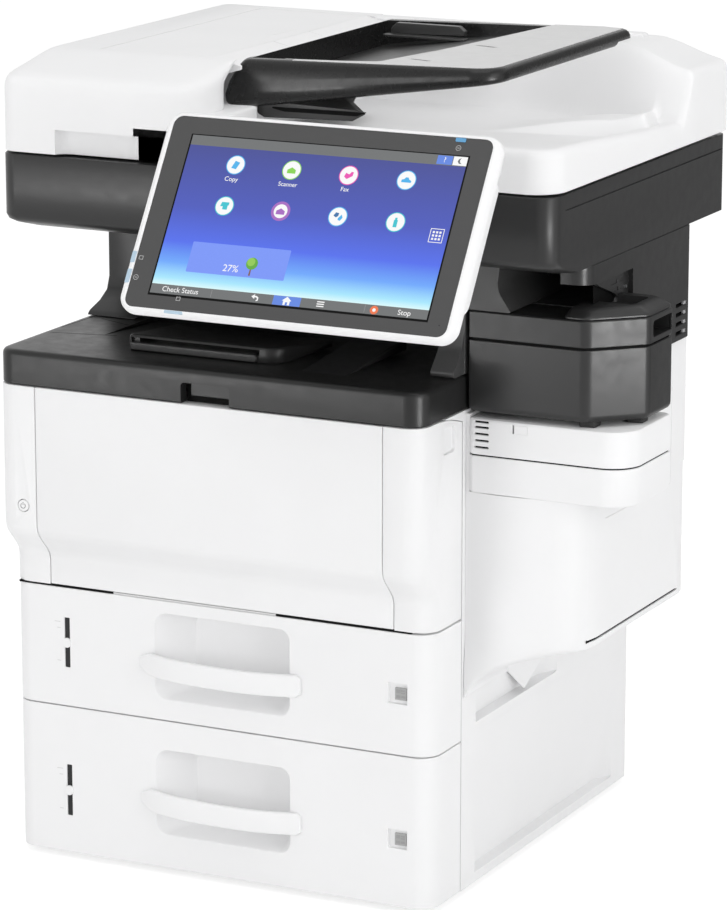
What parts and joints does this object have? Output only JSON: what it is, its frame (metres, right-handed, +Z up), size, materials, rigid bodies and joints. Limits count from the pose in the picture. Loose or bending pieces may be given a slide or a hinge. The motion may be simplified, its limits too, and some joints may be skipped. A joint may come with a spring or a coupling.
{
  "type": "photocopier",
  "caption": "Compact desktop multifunction photocopier with paper drawers, document feeder, tilting touch panel and side stapler.",
  "frame": {"origin": "under the middle of the whole object's box, at the bottom of the feet", "axes": "+X to the machine's right seen from the front, -Y out of the front, +Z up"},
  "size_m": [0.5066, 0.568, 0.655],
  "materials": {
    "white_plastic": "fine-grained off-white ABS",
    "charcoal_plastic": "fine-grained charcoal ABS",
    "dark_deck": "near-black ABS, faint sheen",
    "tray_rim": "polished charcoal rim with a light grey top",
    "inner_grey": "plain grey moulding",
    "rubber": "dull black rubber",
    "steel": "bright sheet or ground bar",
    "scan_glass": "clear flat glass",
    "display_glass": "dark bezel under glass with a lit colour display",
    "pad_foam": "white film over foam"
  },
  "bodies": {
    "chassis": {"exit_wall": "charcoal_plastic", "foot_front_left": "rubber", "foot_front_right": "rubber", "foot_rear_left": "rubber", "foot_rear_right": "rubber", "laser_unit": "inner_grey", "left_pillar": "charcoal_plastic", "lid_hinge_left": "charcoal_plastic", "lid_hinge_right": "charcoal_plastic", "lower_frame": "white_plastic", "main_frame": "white_plastic", "output_deck": "dark_deck", "panel_arm": "charcoal_plastic", "platen_glass": "scan_glass", "right_housing": "charcoal_plastic", "right_pillar": "charcoal_plastic", "scanner_base": "charcoal_plastic", "scanner_frame": "charcoal_plastic", "side_box_cover": "white_plastic", "side_box_lower": "white_plastic", "side_tower": "white_plastic", "stapler_body": "charcoal_plastic", "stapler_deck": "charcoal_plastic", "toner_cartridge": "charcoal_plastic"},
    "tray1_drawer": {"tray1_front": "white_plastic", "tray1_handle": "white_plastic", "tray1_bin": "inner_grey"},
    "tray2_drawer": {"tray2_front": "white_plastic", "tray2_handle": "white_plastic", "tray2_bin": "inner_grey"},
    "tray1_lift_plate": {"tray1_lift_plate": "steel"},
    "tray1_guide_left": {"tray1_guide_left": "inner_grey"},
    "tray1_guide_right": {"tray1_guide_right": "inner_grey"},
    "tray1_gauge": {"tray1_gauge": "white_plastic"},
    "tray1_pickup_roller": {"tray1_pickup_roller": "rubber"},
    "tray2_lift_plate": {"tray2_lift_plate": "steel"},
    "tray2_guide_left": {"tray2_guide_left": "inner_grey"},
    "tray2_guide_right": {"tray2_guide_right": "inner_grey"},
    "tray2_gauge": {"tray2_gauge": "white_plastic"},
    "tray2_pickup_roller": {"tray2_pickup_roller": "rubber"},
    "front_cover": {"front_cover": "white_plastic"},
    "bypass_tray": {"bypass_tray": "white_plastic"},
    "power_button": {"power_button": "white_plastic"},
    "rear_door": {"rear_door": "white_plastic"},
    "paper_stopper": {"paper_stopper": "charcoal_plastic"},
    "stapler_lid": {"stapler_lid": "charcoal_plastic"},
    "exit_roller": {"exit_roller": "rubber"},
    "photo_drum": {"photo_drum": "steel"},
    "fuser_roller": {"fuser_roller": "steel"},
    "pressure_roller": {"pressure_roller": "rubber"},
    "scan_carriage": {"scan_carriage": "charcoal_plastic"},
    "platen_cover": {"platen_cover": "white_plastic", "platen_pad": "pad_foam"},
    "feed_cover": {"feed_cover": "white_plastic"},
    "input_tray": {"input_tray": "tray_rim"},
    "input_guide_front": {"input_guide_front": "charcoal_plastic"},
    "input_guide_rear": {"input_guide_rear": "charcoal_plastic"},
    "feed_pickup_roller": {"feed_pickup_roller": "rubber"},
    "panel": {"panel_shell": "white_plastic", "panel_glass": "display_glass"}
  },
  "joints": [
    {"name": "tray1_pull", "type": "slide", "parent": "chassis", "child": "tray1_drawer", "axis": [0, -1, 0], "range_m": [0, 0.3]},
    {"name": "tray1_plate_lift", "type": "hinge", "parent": "tray1_drawer", "child": "tray1_lift_plate", "pos_m": [-0.06825, -0.03604, 0.143], "axis": [1, 0, 0], "range_deg": [-5, 6]},
    {"name": "tray1_guide_left_slide", "type": "slide", "parent": "tray1_drawer", "child": "tray1_guide_left", "axis": [1, 0, 0], "range_m": [-0.03, 0.035]},
    {"name": "tray1_guide_right_slide", "type": "slide", "parent": "tray1_drawer", "child": "tray1_guide_right", "axis": [1, 0, 0], "range_m": [-0.035, 0.03]},
    {"name": "tray1_gauge_slide", "type": "slide", "parent": "tray1_drawer", "child": "tray1_gauge", "axis": [0, 0, 1], "range_m": [-0.0135, 0.016]},
    {"name": "tray1_pickup_turn", "type": "hinge", "parent": "chassis", "child": "tray1_pickup_roller", "pos_m": [-0.06825, 0.24396, 0.211], "axis": [1, 0, 0], "continuous": true},
    {"name": "tray2_pull", "type": "slide", "parent": "chassis", "child": "tray2_drawer", "axis": [0, -1, 0], "range_m": [0, 0.3]},
    {"name": "tray2_plate_lift", "type": "hinge", "parent": "tray2_drawer", "child": "tray2_lift_plate", "pos_m": [-0.06825, -0.03604, 0.025], "axis": [1, 0, 0], "range_deg": [-5, 6]},
    {"name": "tray2_guide_left_slide", "type": "slide", "parent": "tray2_drawer", "child": "tray2_guide_left", "axis": [1, 0, 0], "range_m": [-0.03, 0.035]},
    {"name": "tray2_guide_right_slide", "type": "slide", "parent": "tray2_drawer", "child": "tray2_guide_right", "axis": [1, 0, 0], "range_m": [-0.035, 0.03]},
    {"name": "tray2_gauge_slide", "type": "slide", "parent": "tray2_drawer", "child": "tray2_gauge", "axis": [0, 0, 1], "range_m": [-0.0135, 0.016]},
    {"name": "tray2_pickup_turn", "type": "hinge", "parent": "chassis", "child": "tray2_pickup_roller", "pos_m": [-0.06825, 0.24396, 0.093], "axis": [1, 0, 0], "continuous": true},
    {"name": "front_cover_open", "type": "hinge", "parent": "chassis", "child": "front_cover", "pos_m": [-0.06825, -0.10404, 0.238], "axis": [-1, 0, 0], "range_deg": [-80, 0]},
    {"name": "bypass_open", "type": "hinge", "parent": "front_cover", "child": "bypass_tray", "pos_m": [-0.06825, -0.10304, 0.236], "axis": [1, 0, 0], "range_deg": [0, 68]},
    {"name": "power_press", "type": "slide", "parent": "front_cover", "child": "power_button", "axis": [0, 1, 0], "range_m": [0, 0.0015], "stiffness_N_per_m": 400},
    {"name": "rear_door_open", "type": "hinge", "parent": "chassis", "child": "rear_door", "pos_m": [-0.06825, 0.28246, 0.247], "axis": [-1, 0, 0], "range_deg": [0, 85]},
    {"name": "paper_stopper_raise", "type": "hinge", "parent": "chassis", "child": "paper_stopper", "pos_m": [-0.09025, -0.08604, 0.4218], "axis": [1, 0, 0], "range_deg": [0, 92]},
    {"name": "stapler_lid_lift", "type": "hinge", "parent": "chassis", "child": "stapler_lid", "pos_m": [0.22675, 0.02916, 0.4695], "axis": [-1, 0, 0], "range_deg": [0, 20]},
    {"name": "exit_roller_turn", "type": "hinge", "parent": "chassis", "child": "exit_roller", "pos_m": [-0.06725, 0.24196, 0.435], "axis": [1, 0, 0], "continuous": true},
    {"name": "photo_drum_turn", "type": "hinge", "parent": "chassis", "child": "photo_drum", "pos_m": [-0.06825, 0.14796, 0.286], "axis": [1, 0, 0], "continuous": true},
    {"name": "fuser_turn", "type": "hinge", "parent": "chassis", "child": "fuser_roller", "pos_m": [-0.06825, 0.22196, 0.295], "axis": [1, 0, 0], "continuous": true},
    {"name": "pressure_turn", "type": "hinge", "parent": "chassis", "child": "pressure_roller", "pos_m": [-0.06825, 0.24856, 0.295], "axis": [1, 0, 0], "continuous": true},
    {"name": "scan_travel", "type": "slide", "parent": "chassis", "child": "scan_carriage", "axis": [1, 0, 0], "range_m": [0, 0.34]},
    {"name": "platen_cover_lift", "type": "hinge", "parent": "chassis", "child": "platen_cover", "pos_m": [-0.01825, 0.23056, 0.573], "axis": [-1, 0, 0], "range_deg": [0, 65]},
    {"name": "feed_cover_open", "type": "hinge", "parent": "platen_cover", "child": "feed_cover", "pos_m": [-0.19405, 0.07596, 0.648], "axis": [0, -1, 0], "range_deg": [0, 80]},
    {"name": "input_tray_raise", "type": "hinge", "parent": "platen_cover", "child": "input_tray", "pos_m": [-0.07065, 0.07796, 0.6482], "axis": [0, -1, 0], "range_deg": [0, 30]},
    {"name": "input_guide_front_slide", "type": "slide", "parent": "input_tray", "child": "input_guide_front", "axis": [0, 1, 0], "range_m": [-0.008, 0.08]},
    {"name": "input_guide_rear_slide", "type": "slide", "parent": "input_tray", "child": "input_guide_rear", "axis": [0, 1, 0], "range_m": [-0.08, 0.008]},
    {"name": "feed_pickup_turn", "type": "hinge", "parent": "platen_cover", "child": "feed_pickup_roller", "pos_m": [-0.09325, 0.07696, 0.619], "axis": [0, 1, 0], "continuous": true},
    {"name": "panel_tilt", "type": "hinge", "parent": "chassis", "child": "panel", "pos_m": [0.07975, -0.22104, 0.537], "axis": [1, 0, 0], "range_deg": [-30, 25]}
  ],
  "couplings": [
    {"joint": "tray1_guide_right_slide", "follows": "tray1_guide_left_slide", "ratio": -1},
    {"joint": "tray1_gauge_slide", "follows": "tray1_plate_lift", "m_per_rad": 0.15},
    {"joint": "tray2_guide_right_slide", "follows": "tray2_guide_left_slide", "ratio": -1},
    {"joint": "tray2_gauge_slide", "follows": "tray2_plate_lift", "m_per_rad": 0.15},
    {"joint": "pressure_turn", "follows": "fuser_turn", "ratio": -1},
    {"joint": "input_guide_rear_slide", "follows": "input_guide_front_slide", "ratio": -1}
  ]
}
